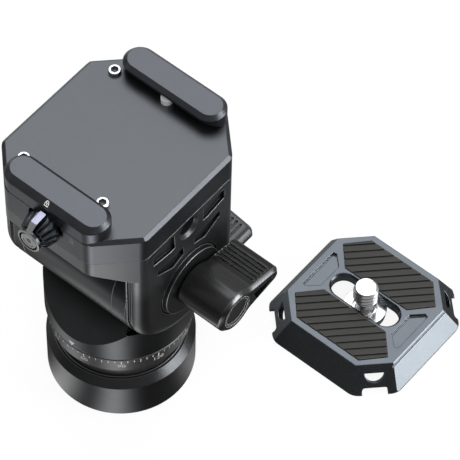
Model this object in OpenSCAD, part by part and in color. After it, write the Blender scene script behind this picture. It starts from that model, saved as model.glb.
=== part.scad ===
// Compact fluid video head with a quick-release plate, in millimetres.
// Z is up and the origin is the centre of the base's underside.
// +X runs along the tilt axis to the tilt knob, -Y is the lever side.

/* [Clamp body] */
// Width of the clamp body along the tilt axis
body_x = 42.8; // [42:0.2:48]
// Depth of the clamp body, front to back
body_y = 48.8; // [48:0.2:54]
// Length taken off each corner of the clamp body
corner_cut = 9.2; // [7:0.2:10.4]
// Radius of the upright edges
corner_r = 3.2; // [1:0.2:5]
// Height of the clamp housing
housing_h = 8; // [7.6:0.2:10]
// Height of the tilt block's front and back faces
block_h = 4.2; // [3:0.2:5]
// Bevel along the housing's top edges
edge_bevel = 0.9; // [0.4:0.1:1.4]
// Height of the plate seat above the tilt axis
seat_rise = 32.1; // [31:0.1:38]

/* [Jaws] */
// Length of each jaw
jaw_l = 28.8; // [26:0.2:30]
// Width of each jaw
jaw_w = 8; // [7:0.1:8.4]
// Height of each jaw above the seat
jaw_h = 4.5; // [4:0.1:6]
// Bevel round the top of each jaw
jaw_bevel = 1.05; // [0.5:0.05:1.4]
// Distance between the two jaw lips when closed
jaw_gap = 32.2; // [31.4:0.1:32.8]
// How far the front jaw slides out
jaw_travel = 6; // [3:0.5:6.5]

/* [Lever] */
// Height of the lever axis below the seat
lever_drop = 3.5; // [3:0.1:4]
// Radius of the lever barrel at its wide end
lever_r = 4.6; // [4.2:0.1:5]
// Radius of the lever's end face
lever_tip_r = 3.3; // [2.6:0.1:3.6]
// How far the lever stands out of the front face
lever_reach = 5.9; // [5:0.1:9]
// Radius of the half-round recess behind the lever
recess_r = 5.15; // [5:0.05:5.6]

/* [Tilt drum] */
// Height of the tilt axis above the floor
axis_h = 53.4; // [52.6:0.1:60]
// Radius of the tilt drum
drum_r = 17.2; // [16.6:0.1:17.6]
// Distance from the centre to the drum's left end
drum_left = 14.4; // [13.8:0.1:15.4]
// Distance from the centre to the drum's right end
drum_right = 12.5; // [12:0.1:13.2]
// Thickness of the drum cover
cover_t = 4.2; // [4:0.1:4.8]
// Rounding of the cheeks' outer edges
cheek_round = 3.4; // [1.5:0.1:3.6]
// Radius of the tilt axle
axle_r = 5; // [4.4:0.1:5.4]

/* [Knobs] */
// Radius of a knob's barrel
knob_r = 5.8; // [5.2:0.1:6.6]
// Length of a knob
knob_l = 13.2; // [11:0.2:16]
// Distance from a knob's axis to the centre of its wing tip
wing_reach = 13.1; // [11:0.1:13.6]
// Radius of the wing tip
wing_tip_r = 2.3; // [1.4:0.1:2.8]
// Height of the pan knob axis above the floor
pan_knob_h = 31; // [30.6:0.1:31.4]

/* [Base] */
// Radius of the base and of the pan collar
base_r = 18.35; // [18:0.05:19]
// Height of the base up to the scale ring
base_h = 14; // [13.6:0.1:14.4]
// Height of the scale ring
ring_h = 10.4; // [9.8:0.1:10.6]
// Height of the pan collar's rim
collar_h = 10.2; // [9.6:0.1:10.4]
// Radius of the tripod thread's bore (3/8 inch, minor radius)
tripod_bore_r = 3.97; // [3.9:0.01:4.1]

/* [Plate] */
// Width of the plate's top
plate_top = 33.4; // [33:0.1:36]
// Width of the plate's underside
plate_bottom = 41; // [40.6:0.1:42]
// Height of the plate
plate_h = 7.2; // [7:0.1:8.4]
// Thickness of the plate's top wall
plate_wall = 2.8; // [2.4:0.1:3.2]
// Length of the screw slot
slot_l = 19.8; // [17:0.2:21]
// Radius of the camera screw thread (1/4 inch)
screw_r = 3.175; // [3.1:0.005:3.2]
// Height of the camera screw above the plate
screw_rise = 5.7; // [4.5:0.1:7]
// Plate centre on the floor, to the right of the head
plate_x = 39.4; // [39.2:0.1:60]
// Plate centre on the floor, behind the head
plate_y = 47.2; // [46:0.1:70]

/* [Hidden] */
$fn = 96;
running = 0.05;
slip = 0.2;
side_gap = 0.3;
saddle_gap = 0.4;
over = 0.1;
// Clearance of a fixed piece in its seat
fit_gap = 0.02;

// Unit vector at an angle
function arm(angle) = [cos(angle), sin(angle)];

seat_z = axis_h + seat_rise;
block_top = seat_z - housing_h;
block_edge = block_top - block_h;
shoulder_z = block_edge - 4.3;
half_x = body_x / 2;
half_y = body_y / 2;
cheek_in_l = drum_left + side_gap;
cover_x = drum_right + cover_t;
cheek_in_r = cover_x + side_gap;
// Groove around the rim of each cheek
rim_groove_r = 0.6;
accessory_z = block_top - 3.6;
accessory_r = 2.55;
accessory_rim = 3.3;
accessory_depth = 9;

// Places of the three seat screws
seat_screw_at = [[-14.5, 16.1], [-13.9, -15.9], [7.8, -13.9]];
seat_head_r = 1.55;
seat_head_h = 1;
seat_shank_r = 1.2;
seat_shank_l = housing_h + 4.5;
small_hex_r = 0.85;
small_hex_d = 0.7;

// Jaws
jaw_end_r = jaw_w / 2;
// The jaws stand a little behind the seat's centre
jaw_offset = 0.22;
lip_front = jaw_offset - jaw_gap / 2;
lip_rear = jaw_offset + jaw_gap / 2;
front_jaw_y = lip_front - jaw_end_r;
rear_jaw_y = lip_rear + jaw_end_r;
undercut_h = 2.8;
undercut_d = 3.6;
jaw_lift = 0.06;
boss_r = recess_r - slip;
boss_back = lip_front + 0.58;
boss_l = 7;
boss_front = boss_back - boss_l;
// Free space behind a piece that slides in a bore
end_gap = 0.4;
slot_back = boss_back + end_gap;
pin_x = 3.6;
pin_rise = 1;
pin_r = 0.85;
// Length of pin and shaft left in the housing when the jaw is out
pin_hold = 3.9;
shaft_hold = 3.3;
pin_back = boss_back + jaw_travel + pin_hold;
spring_bore_r = 1.5;
spring_back = boss_back + jaw_travel - 0.3;
spring_wire = 0.2;
spring_mid_r = 1.2;

// Lever
lever_z = seat_z - lever_drop;
lever_shaft_r = 1.9;
lever_front = -half_y - lever_reach;
lever_back = -half_y - 0.5;
lever_hub_r = 3;
lever_mid_r = lever_r - 0.7;
lever_waist_r = 2.4;
lever_disc_t = 1.4;
lever_fin_w = 2.2;
lever_fin_rise = 0.6;
shaft_back = boss_back + jaw_travel + shaft_hold;
shaft_grip = 3;
lever_screw_r = 1.1;
lever_screw_head_r = 1.7;
flute_count = 14;
flute_r = 0.55;

// Trigger in the rear jaw's undercut
trigger_y = lip_rear + 1.1;
trigger_r = 1.4;
trigger_top = seat_z + 1.5;
trigger_flange_r = 2;
trigger_flange_h = 1;
trigger_shelf = 2.4;
trigger_travel = 1.2;
rear_screw_x = 9;
rear_screw_r = 1.3;
rear_screw_head_r = 2.3;
rear_screw_head_h = 1.6;
rear_screw_grip = 2.6;

// Tilt drum insides
bush_r = 8;
bush_l = 2.5;
seal_l = 1.2;
drum_wall = bush_l + seal_l + slip;
cup_r = 12;
stator_r = 9.46;
rotor_r = 9.4;
cover_screw_pcd_r = 14.5;
cover_screw_r = 1.2;
cover_screw_head_r = 1.95;
cover_screw_head_h = 1.8;
cover_screw_grip = 6.5;
axle_flange_r = 7.4;
axle_flange_l = 2;
axle_cap_r = 8.6;
axle_cap_l = 1.6;
axle_end = half_x - 0.3;
stud_r = 3;
stud_bore_l = 13;
stud_end = half_x - stud_bore_l + 1;

// Knobs
knob_washer_t = 1.1;
knob_washer_r = 9.2;
knob_groove_r = 9.5;
tilt_knob_x = half_x + knob_washer_t + 0.3;
pan_boss_r = 7.2;
pan_boss_y = base_r + 0.45;
pan_knob_y = pan_boss_y + 0.3;
knob_cap_r = 4.3;
knob_cap_t = 1.4;
knob_cap_rim = 0.5;
knob_dish = 5;
stud_grip = 7;
wing_drop = 1.5;
rib_count = 5;
rib_r = 0.32;
rib_step = 0.135;
rib_start = 0.32;
// Smooth length left at a knob's outer end
rib_stop = 1.5;
// Angles at which the wing's flanks leave the barrel and meet the tip
shoulder = 42;
tip_sweep = 78;
barrel_steps = 48;
tip_steps = 12;
flank_start = knob_r * arm(shoulder);
flank_end = [wing_reach, 0] + wing_tip_r * arm(tip_sweep);

// Base and pan
rim_h = base_h - 2.3;
neck_r = base_r - 1.65;
groove_h = 0.8;
// Neck under the ring's tick band, and where the band starts
ring_neck_r = neck_r - 1.2;
band_z = base_h + ring_h / 2;
collar_z = base_h + ring_h + groove_h;
flat_z = collar_z + 3.6;
flat_angle = 49;
shaft_r = 7;
shaft_flange_r = 0.632 * base_r;
shaft_flange_h = 6;
washer_t = 0.55;
washer_gap = 0.05;
lip_r = 0.763 * base_r;
lip_t = 1.25;
lip_in_r = lip_r - lip_t;
spigot_r = lip_in_r - 0.25;
spigot_z = base_h + washer_t + washer_gap;
lip_h = 2;
drag_in_r = spigot_r + 0.06;
pan_bush_r = 9;
pan_bush_l = pan_knob_h - stud_r - end_gap - spigot_z;
shaft_top = 33;
shaft_thread_r = 5;
shaft_thread_top = 38.4;
nut_z = shaft_top + 1.2;
nut_h = 3.8;
nut_r = 7.8;
nut_bore_r = 9.3;
spring_t = 0.5;
insert_r = 0.338 * base_r;
shaft_screw_pcd_r = 0.501 * base_r;
shaft_screw_r = 1.25;
shaft_screw_head_r = 2.1;
shaft_screw_head_h = 2;
shaft_screw_sink = 1.2;
shaft_screw_grip = 3.6;
shoe_l = 3;
base_bevel = 0.6;

// Plate
plate_corner_top = 18.95;
plate_corner_bottom = plate_bottom / 2 + 2.95;
// Rounding of the plate's lower upright edges
plate_round = 4;
round_steps = 6;
plate_skirt = 2;
slot_r = screw_r + 0.15;
slot_bevel = 0.5;
screw_neck_r = screw_r - 0.95;
screw_tip = 0.5;
screw_slot_w = 1.2;
// Height at which the screw's thread starts above the plate
thread_rise = 0.9;
pad_recess = 1;
pad_rise = 0.3;
rib_pitch = 2.05;
rib_gap = 0.55;
pad_x = 14.6;
pad_x_in = 9.7;
pad_y = 15;
pad_y_in = 4.3;
pocket_d = 0.8;
washer_r = 5.6;
screw_washer_t = 0.7;
screw_head_r = 5.4;
screw_head_h = 2.1;
strap_r = 2.5;
strap_high = 5.1;
// Downward slope of the strap holes
strap_tilt = 45;
strap_l = 6.5;
notch_w = 6.4;
notch_h = 1.7;
notch_r = 0.7;
line_w = 0.45;
line_drop = 0.9;

// Shared shapes

// Round bar along X on the tilt axis
module bar_x(x0, x1, r) {
  translate([x0, 0, axis_h])
    rotate([0, 90, 0])
      cylinder(h = x1 - x0, r = r);
}

// Tube along X on the tilt axis
module tube_x(x0, x1, r, bore) {
  difference() {
    bar_x(x0, x1, r);
    bar_x(x0 - over, x1 + over, bore);
  }
}

// Round bar along Y
module bar_y(y0, y1, r, x, z) {
  translate([x, y0, z])
    rotate([-90, 0, 0])
      cylinder(h = y1 - y0, r = r);
}

// Upright tube round the pan axis
module tube_z(z0, z1, r, bore) {
  difference() {
    translate([0, 0, z0])
      cylinder(h = z1 - z0, r = r);
    translate([0, 0, z0 - over])
      cylinder(h = z1 - z0 + 2 * over, r = bore);
  }
}

// Octagon with rounded corners, as the clamp body is seen from above
module body_outline() {
  // Setback of each tangent point from a sharp corner of 135 degrees
  back = corner_r * tan(22.5);
  step = back / sqrt(2);
  x1 = half_x - corner_cut;
  y1 = half_y - corner_cut;
  for (sx = [-1, 1], sy = [-1, 1]) {
    mid_x = sx * (half_x - corner_r);
    mid_y = sy * (half_y - corner_r);
    translate([mid_x, sy * (y1 - back)])
      circle(r = corner_r);
    translate([sx * (x1 - back), mid_y])
      circle(r = corner_r);
  }
  polygon([
    [half_x, back - y1], [half_x, y1 - back], [half_x - step, y1 + step],
    [x1 + step, half_y - step], [x1 - back, half_y], [back - x1, half_y],
    [-x1 - step, half_y - step], [step - half_x, y1 + step], [-half_x, y1 - back],
    [-half_x, back - y1], [step - half_x, -y1 - step], [-x1 - step, step - half_y],
    [back - x1, -half_y], [x1 - back, -half_y], [x1 + step, step - half_y],
    [half_x - step, -y1 - step]
  ]);
}

// Bar with two bevelled top edges, lying along X
module bevelled_bar(half, low, high, bevel) {
  reach = body_x + body_y;
  translate([-reach / 2, 0, 0])
    rotate([90, 0, 90])
      linear_extrude(reach)
        polygon([
          [-half, low], [half, low], [half, high - bevel],
          [half - bevel, high], [bevel - half, high], [-half, high - bevel]
        ]);
}

// Clamp housing outline with bevelled top edges
module housing_solid() {
  corner_half = (half_x + half_y - corner_cut) / sqrt(2);
  intersection() {
    translate([0, 0, block_top])
      linear_extrude(housing_h)
        body_outline();
    bevelled_bar(half_y, block_top - over, seat_z, edge_bevel);
    rotate(90)
      bevelled_bar(half_x, block_top - over, seat_z, edge_bevel);
    rotate(45)
      bevelled_bar(corner_half, block_top - over, seat_z, edge_bevel);
    rotate(-45)
      bevelled_bar(corner_half, block_top - over, seat_z, edge_bevel);
  }
}

// Jaw with round bevelled ends, its centre line at the given y
module jaw_block(y, lift) {
  side = jaw_l / 2 - jaw_end_r;
  wall = jaw_h - lift - jaw_bevel;
  translate([0, y, seat_z + lift]) {
    for (s = [-1, 1])
      translate([s * side, 0, 0]) {
        cylinder(h = wall, r = jaw_end_r);
        translate([0, 0, wall])
          cylinder(h = jaw_bevel, r1 = jaw_end_r, r2 = jaw_end_r - jaw_bevel);
      }
    translate([-side, 0, 0])
      rotate([90, 0, 90])
        linear_extrude(2 * side)
          polygon([
            [-jaw_end_r, 0], [jaw_end_r, 0], [jaw_end_r, wall],
            [jaw_end_r - jaw_bevel, wall + jaw_bevel],
            [jaw_bevel - jaw_end_r, wall + jaw_bevel], [-jaw_end_r, wall]
          ]);
  }
}

// Wedge that undercuts a jaw from its lip at y, towards dir
module undercut(y, dir) {
  translate([-jaw_l / 2 - over, y, seat_z])
    rotate([90, 0, 90])
      linear_extrude(jaw_l + 2 * over)
        polygon([
          [-dir * over, -over], [-dir * over, undercut_h], [0, undercut_h],
          [dir * undercut_d, 0], [dir * undercut_d, -over]
        ]);
}

// Rounded cheek section, radius along x and thickness along y
module cheek_section(t) {
  square([drum_r, t - cheek_round]);
  square([drum_r - cheek_round, t]);
  translate([drum_r - cheek_round, t - cheek_round])
    circle(r = cheek_round);
}

// Half of the cheek section that lies on the right of the axis, grooved where its rounding starts
module cheek_half(t) {
  difference() {
    intersection() {
      cheek_section(t);
      square([drum_r, t]);
    }
    translate([drum_r, t - cheek_round])
      circle(r = rim_groove_r);
  }
}

// Cheek with its inner face at x = 0, rising into the tilt block
module cheek(t) {
  rotate([0, 90, 0])
    rotate_extrude()
      cheek_half(t);
  linear_extrude(shoulder_z - axis_h + over)
    for (s = [0, 1])
      mirror([0, s])
        mirror([1, -1])
          cheek_half(t);
}

// Outline of a knob: round barrel and drawn-out wing
module knob_outline() {
  sweep = 360 - 2 * shoulder;
  barrel = [for (i = [0 : barrel_steps]) knob_r * arm(shoulder + i * sweep / barrel_steps)];
  tip = [for (i = [0 : tip_steps])
    [wing_reach, 0] + wing_tip_r * arm((2 * i / tip_steps - 1) * tip_sweep)];
  rotate(-wing_drop)
    polygon(concat(barrel, tip));
}

// Grip grooves along one flank of the wing
module knob_ribs() {
  for (i = [0 : rib_count - 1]) {
    at = flank_start + (rib_start + i * rib_step) * (flank_end - flank_start);
    translate([at[0], at[1], -over])
      cylinder(h = knob_l - rib_stop + over, r = rib_r, $fn = 24);
  }
}

// Knob standing on z = 0 with its wing along +X
module knob_body() {
  difference() {
    linear_extrude(knob_l)
      knob_outline();
    rotate(-wing_drop) {
      knob_ribs();
      mirror([0, 1, 0])
        knob_ribs();
    }
    translate([0, 0, -over])
      cylinder(h = stud_grip + over, r = stud_r + fit_gap);
    translate([0, 0, knob_l - knob_cap_t])
      cylinder(h = knob_cap_t + over, r = knob_cap_r);
    translate([0, 0, knob_l - knob_dish])
      linear_extrude(knob_dish + over)
        polygon([
          [knob_r + 0.2, 0.6], [wing_reach - 0.4, -0.2],
          [wing_reach - 0.6, -1], [knob_r + 1.2, -2.8]
        ]);
  }
}

// Dished cap that closes the knob's outer end
module knob_cap() {
  translate([0, 0, knob_l - knob_cap_t])
    difference() {
      cylinder(h = knob_cap_t, r = knob_cap_r);
      translate([0, 0, knob_cap_t - knob_cap_rim])
        cylinder(h = knob_cap_rim + over, r = knob_cap_r - knob_cap_rim);
    }
}

// Places a knob on the tilt axis, wing to the back
module at_tilt_knob() {
  translate([tilt_knob_x, 0, axis_h])
    rotate([90, 0, 90])
      children();
}

// Places a knob on the pan axis, wing to the right
module at_pan_knob() {
  translate([0, pan_knob_y, pan_knob_h])
    rotate([-90, 0, 0])
      mirror([0, 1, 0])
        children();
}

// Helical spring standing on z = 0, its wire as tall as it is wide
module coil(height, turns, mid_r) {
  sweep = 360 * 2 * spring_wire * turns / height;
  steps = 6;
  outer = [for (i = [0 : steps]) (mid_r + spring_wire) * arm(i * sweep / steps)];
  inner = [for (i = [steps : -1 : 0]) (mid_r - spring_wire) * arm(i * sweep / steps)];
  linear_extrude(height, twist = -360 * turns, slices = 14 * turns, $fn = 3)
    polygon(concat(outer, inner));
}

// Cap screw pointing up, the head's underside at z = 0
module cap_screw(head_r, head_h, r, l) {
  difference() {
    translate([0, 0, -head_h])
      cylinder(h = head_h, r = head_r);
    translate([0, 0, -head_h - over])
      cylinder(h = head_h / 2 + over, r = head_r / 2, $fn = 6);
  }
  cylinder(h = l, r = r);
}

// Base group

module base_body() {
  color("#2c2d30")
    difference() {
      rotate_extrude()
        polygon([
          [0, 0], [base_r - base_bevel, 0], [base_r, base_bevel], [base_r, rim_h],
          [neck_r, base_h - 0.1], [neck_r - 0.6, base_h - 0.1], [neck_r - 0.6, base_h],
          [lip_r, base_h], [lip_r, base_h + lip_h], [lip_in_r, base_h + lip_h],
          [lip_in_r, base_h], [0, base_h]
        ]);
      translate([0, 0, -over])
        cylinder(h = base_h + 2 * over, r = insert_r);
      translate([0, 0, base_h - shaft_flange_h])
        cylinder(h = shaft_flange_h + over, r = shaft_flange_r + fit_gap);
      for (a = [45 : 90 : 315])
        rotate(a)
          translate([shaft_screw_pcd_r, 0, -over]) {
            cylinder(h = base_h, r = shaft_screw_r + fit_gap);
            cylinder(h = over + shaft_screw_sink + shaft_screw_head_h, r = shaft_screw_head_r + fit_gap);
          }
    }
}

module thread_insert() {
  color("#9a948a")
    tube_z(0.3, base_h - shaft_flange_h, insert_r, tripod_bore_r);
}

module scale_ring() {
  color("#47484b")
    rotate_extrude()
      polygon([
        [lip_r + fit_gap, base_h], [ring_neck_r, base_h], [ring_neck_r, band_z - 1.5],
        [base_r - 1.05, band_z - 0.3], [base_r - 0.75, band_z],
        [base_r - 0.3, base_h + ring_h - 0.3], [base_r - 0.6, base_h + ring_h],
        [lip_r + fit_gap, base_h + ring_h]
      ]);
}

module pan_drag_ring() {
  color("#b9b3a2")
    tube_z(base_h + lip_h + slip, base_h + ring_h - 0.6, lip_r, drag_in_r);
}

module pan_shaft() {
  color("#8d9094")
    difference() {
      union() {
        translate([0, 0, base_h - shaft_flange_h])
          cylinder(h = shaft_flange_h, r = shaft_flange_r);
        translate([0, 0, base_h - over])
          cylinder(h = shaft_top - base_h + over, r = shaft_r);
        translate([0, 0, shaft_top - over])
          cylinder(h = shaft_thread_top - shaft_top + over, r = shaft_thread_r);
      }
      for (a = [45 : 90 : 315])
        rotate(a)
          translate([shaft_screw_pcd_r, 0, base_h - shaft_flange_h - over])
            cylinder(h = shaft_screw_grip + 2 * over, r = shaft_screw_r);
    }
}

module shaft_screws() {
  shank = base_h - shaft_flange_h - shaft_screw_sink - shaft_screw_head_h + shaft_screw_grip;
  color("#6f7276")
    for (a = [45 : 90 : 315])
      rotate(a)
        translate([shaft_screw_pcd_r, 0, shaft_screw_sink + shaft_screw_head_h])
          cap_screw(shaft_screw_head_r, shaft_screw_head_h, shaft_screw_r, shank);
}

module thrust_washer() {
  color("#cfc8b4")
    tube_z(base_h, base_h + washer_t, spigot_r - running, shaft_r + slip);
}

module pan_spring_washer() {
  color("#8f9296")
    rotate_extrude()
      polygon([
        [shaft_thread_r + running, nut_z - spring_t], [nut_r - 1.2, shaft_top + running],
        [nut_r - 1.2, shaft_top + running + spring_t], [shaft_thread_r + running, nut_z]
      ]);
}

module pan_nut() {
  color("#85888c")
    translate([0, 0, nut_z])
      difference() {
        cylinder(h = nut_h, r = nut_r, $fn = 6);
        translate([0, 0, -over])
          cylinder(h = nut_h + 2 * over, r = shaft_thread_r);
      }
}

// Pan group

// Side view of the collar and neck with its two slanted flats
module collar_profile() {
  edge = base_r + 1;
  top = axis_h - 6;
  rim_z = flat_z - tan(flat_angle);
  top_y = base_r - (top - flat_z) / tan(flat_angle);
  translate([-edge, 0, 0])
    rotate([90, 0, 90])
      linear_extrude(2 * edge)
        polygon([
          [-edge, collar_z], [edge, collar_z], [edge, rim_z],
          [top_y, top], [-top_y, top], [-edge, rim_z]
        ]);
}

module pan_body() {
  wall = drum_left - drum_wall;
  color("#1f2023")
    difference() {
      union() {
        translate([0, 0, spigot_z])
          cylinder(h = collar_z - spigot_z + over, r = spigot_r);
        intersection() {
          translate([0, 0, collar_z])
            cylinder(h = collar_h, r = base_r);
          collar_profile();
        }
        intersection() {
          translate([-drum_left, -base_r, collar_z])
            cube([drum_left + drum_right, 2 * base_r, axis_h - collar_z]);
          translate([0, 0, collar_z])
            cylinder(h = axis_h - collar_z, r = base_r);
          collar_profile();
        }
        bar_x(-drum_left, drum_right, drum_r);
        intersection() {
          bar_y(shaft_r + shoe_l, pan_boss_y, pan_boss_r, 0, pan_knob_h);
          translate([-pan_boss_r, 0, collar_z])
            cube([2 * pan_boss_r, pan_boss_y, collar_h + 2]);
        }
      }
      translate([0, 0, spigot_z - over])
        cylinder(h = pan_bush_l + over, r = pan_bush_r);
      translate([0, 0, spigot_z])
        cylinder(h = axis_h - spigot_z, r = shaft_r + side_gap);
      translate([0, 0, shaft_top])
        cylinder(h = axis_h - shaft_top, r = nut_bore_r);
      bar_x(-wall, drum_right + over, cup_r);
      bar_x(-drum_left - over, 0, bush_r);
      bar_y(shaft_r - 1, pan_boss_y + over, stud_r + running, 0, pan_knob_h);
      for (a = [45 : 90 : 315])
        translate([0, 0, axis_h])
          rotate([a, 0, 0])
            translate([drum_right - cover_screw_grip, 0, cover_screw_pcd_r])
              rotate([0, 90, 0])
                cylinder(h = cover_screw_grip + over, r = cover_screw_r);
    }
}

module pan_bush() {
  color("#b08d4f")
    tube_z(spigot_z, spigot_z + pan_bush_l, pan_bush_r, shaft_r + running);
}

module tilt_bushes() {
  left = drum_wall - drum_left;
  color("#b08d4f") {
    tube_x(left - bush_l, left, bush_r, axle_r + running);
    tube_x(drum_right + slip, drum_right + slip + bush_l, bush_r, axle_r + running);
  }
}

module drum_seals() {
  left = drum_wall - drum_left - bush_l - slip / 2;
  right = drum_right + slip + bush_l + slip / 2;
  color("#151515") {
    tube_x(left - seal_l, left, bush_r, axle_r + running);
    tube_x(right, right + seal_l, bush_r, axle_r + running);
  }
}

module drag_stator() {
  color("#a7a9ab")
    tube_x(drum_wall - drum_left, drum_right, cup_r, stator_r);
}

module drum_cover() {
  color("#1c1d20")
    difference() {
      bar_x(drum_right, cover_x, drum_r);
      bar_x(drum_right - over, cover_x + over, bush_r);
      for (a = [45 : 90 : 315])
        translate([drum_right, 0, axis_h])
          rotate([a, 0, 0])
            translate([0, 0, cover_screw_pcd_r])
              rotate([0, 90, 0]) {
                translate([0, 0, -over])
                  cylinder(h = cover_t, r = cover_screw_r);
                translate([0, 0, cover_t - cover_screw_head_h - slip])
                  cylinder(h = cover_screw_head_h + slip + over, r = cover_screw_head_r);
              }
    }
}

module drum_cover_screws() {
  head = cover_x - cover_screw_head_h - slip;
  color("#6f7276")
    for (a = [45 : 90 : 315])
      translate([head, 0, axis_h])
        rotate([a, 0, 0])
          translate([0, 0, cover_screw_pcd_r])
            rotate([0, -90, 0])
              cap_screw(cover_screw_head_r, cover_screw_head_h, cover_screw_r,
                head - drum_right + cover_screw_grip);
}

module pan_brake_shoe() {
  color("#c9b98f")
    difference() {
      bar_y(shaft_r - 1, shaft_r + shoe_l, stud_r, 0, pan_knob_h);
      translate([0, 0, pan_knob_h - stud_r - over])
        cylinder(h = 2 * stud_r + 2 * over, r = shaft_r + running);
    }
}

// Pan knob group

module pan_knob() {
  color("#17181a")
    at_pan_knob()
      knob_body();
}

module pan_knob_cap() {
  color("#2a2b2e")
    at_pan_knob()
      knob_cap();
}

module pan_knob_stud() {
  color("#9b9ea2")
    bar_y(shaft_r + shoe_l + running, pan_knob_y + stud_grip, stud_r, 0, pan_knob_h);
}

// Tilt group

// Side view of the tilt block, with its slanted underside
module block_profile() {
  translate([-half_x - over, 0, 0])
    rotate([90, 0, 90])
      linear_extrude(body_x + 2 * over)
        polygon([
          [-half_y - over, block_top], [half_y + over, block_top], [half_y + over, block_edge],
          [half_y, block_edge], [drum_r, shoulder_z], [-drum_r, shoulder_z],
          [-half_y, block_edge], [-half_y - over, block_edge]
        ]);
}

// Shallow pockets in the right cheek, on one side of the centre
module cheek_pockets() {
  rise = block_top - axis_h;
  upper = rise - 6.4;
  lower = rise - 13.2;
  depth = 0.8;
  translate([half_x - depth, 0, axis_h])
    rotate([90, 0, 90])
      linear_extrude(depth + over) {
        polygon([
          [5.2, upper + 5], [4.9, upper + 0.2], [6.6, upper], [12.4, upper + 1.1],
          [12.6, upper + 4.2], [6.3, upper + 5.9]
        ]);
        polygon([
          [2, lower + 3.9], [1.8, lower + 1.2], [5.6, lower - 0.2], [11, lower + 2.4],
          [11.1, lower + 4.4], [6.6, lower + 4.2]
        ]);
      }
}

module tilt_body() {
  axle_seat = axle_cap_l + axle_flange_l;
  color("#3b3c3f")
    difference() {
      union() {
        intersection() {
          translate([0, 0, axis_h])
            linear_extrude(block_top - axis_h)
              body_outline();
          block_profile();
        }
        translate([cheek_in_r, 0, axis_h])
          cheek(half_x - cheek_in_r);
        translate([-cheek_in_l, 0, axis_h])
          mirror([1, 0, 0])
            cheek(half_x - cheek_in_l);
      }
      bar_x(-cheek_in_l, cheek_in_r, drum_r + saddle_gap);
      bar_x(-half_x - over, half_x + over, axle_r + fit_gap);
      bar_x(-half_x - over, axle_seat - half_x, axle_flange_r + fit_gap);
      bar_x(-half_x - over, axle_cap_l - half_x, axle_cap_r + fit_gap);
      difference() {
        bar_x(half_x - 0.4, half_x + over, knob_groove_r + 0.5);
        bar_x(half_x - 1, half_x + 1, knob_groove_r);
      }
      translate([half_x - accessory_depth, 0, accessory_z])
        rotate([0, 90, 0]) {
          cylinder(h = accessory_depth + over, r = accessory_r);
          translate([0, 0, accessory_depth - accessory_rim + accessory_r])
            cylinder(h = accessory_rim - accessory_r, r1 = accessory_r, r2 = accessory_rim);
        }
      for (s = [0, 1])
        mirror([0, s, 0])
          cheek_pockets();
      for (p = seat_screw_at)
        translate([p[0], p[1], seat_z - seat_shank_l])
          cylinder(h = seat_shank_l, r = seat_shank_r);
    }
}

module tilt_axle() {
  axle_start = axle_cap_l - half_x;
  color("#8d9094")
    difference() {
      union() {
        bar_x(axle_start, axle_end, axle_r);
        bar_x(axle_start, axle_start + axle_flange_l, axle_flange_r);
      }
      bar_x(half_x - stud_bore_l, axle_end + over, stud_r + running);
    }
}

module drag_rotor() {
  color("#8a8c8f")
    tube_x(drum_wall - drum_left + 0.6, drum_right - 0.6, rotor_r, axle_r);
}

module axle_cap() {
  color("#26272a")
    bar_x(-half_x, axle_cap_l - half_x, axle_cap_r);
}

module knob_washer() {
  color("#303134")
    tube_x(half_x, half_x + knob_washer_t, knob_washer_r, stud_r + slip);
}

module clamp_housing() {
  color("#5e6166")
    difference() {
      housing_solid();
      intersection() {
        bar_y(-half_y - over, slot_back, recess_r, 0, lever_z);
        translate([-recess_r, -half_y - over, lever_z - over])
          cube([2 * recess_r, half_y, housing_h]);
      }
      bar_y(-half_y - over, boss_front, lever_hub_r + side_gap, 0, lever_z);
      bar_y(-half_y - over, shaft_back + 0.4, lever_shaft_r + running, 0, lever_z);
      for (s = [-1, 1]) {
        bar_y(slot_back - over, pin_back + 0.4, pin_r + running, s * pin_x, lever_z + pin_rise);
        bar_y(slot_back - over, spring_back, spring_bore_r, s * pin_x, lever_z + pin_rise);
      }
      for (p = seat_screw_at)
        translate([p[0], p[1], block_top - over])
          cylinder(h = housing_h + 2 * over, r = seat_shank_r);
      translate([0, trigger_y, block_top - over]) {
        cylinder(h = housing_h + 2 * over, r = trigger_r + running);
        cylinder(h = housing_h - trigger_shelf + over, r = trigger_flange_r + running);
      }
      for (s = [-1, 1])
        translate([s * rear_screw_x, rear_jaw_y, block_top - over]) {
          cylinder(h = housing_h + 2 * over, r = rear_screw_r);
          cylinder(h = rear_screw_head_h + slip + over, r = rear_screw_head_r);
        }
    }
}

module seat_screws() {
  color("#d6d8da")
    for (p = seat_screw_at)
      translate([p[0], p[1], seat_z])
        difference() {
          union() {
            cylinder(h = seat_head_h, r = seat_head_r);
            translate([0, 0, -seat_shank_l])
              cylinder(h = seat_shank_l + over, r = seat_shank_r);
          }
          translate([0, 0, seat_head_h - small_hex_d])
            cylinder(h = small_hex_d + over, r = small_hex_r, $fn = 6);
        }
}

module rear_jaw() {
  color("#5e6166")
    difference() {
      jaw_block(rear_jaw_y, 0);
      undercut(lip_rear, 1);
      translate([0, trigger_y, seat_z - over])
        cylinder(h = trigger_top - seat_z + 0.7, r = trigger_r + 0.4);
      for (s = [-1, 1])
        translate([s * rear_screw_x, rear_jaw_y, seat_z - over])
          cylinder(h = rear_screw_grip + over, r = rear_screw_r);
    }
}

module rear_jaw_screws() {
  color("#6f7276")
    for (s = [-1, 1])
      translate([s * rear_screw_x, rear_jaw_y, block_top + slip + rear_screw_head_h])
        cap_screw(rear_screw_head_r, rear_screw_head_h, rear_screw_r,
          housing_h - slip - rear_screw_head_h + rear_screw_grip);
}

module jaw_springs() {
  color("#b5b8bb")
    for (s = [-1, 1])
      translate([s * pin_x, spring_back - spring_wire / 4, lever_z + pin_rise])
        rotate([90, 0, 0])
          coil(spring_back - slot_back, 6, spring_mid_r);
}

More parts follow.
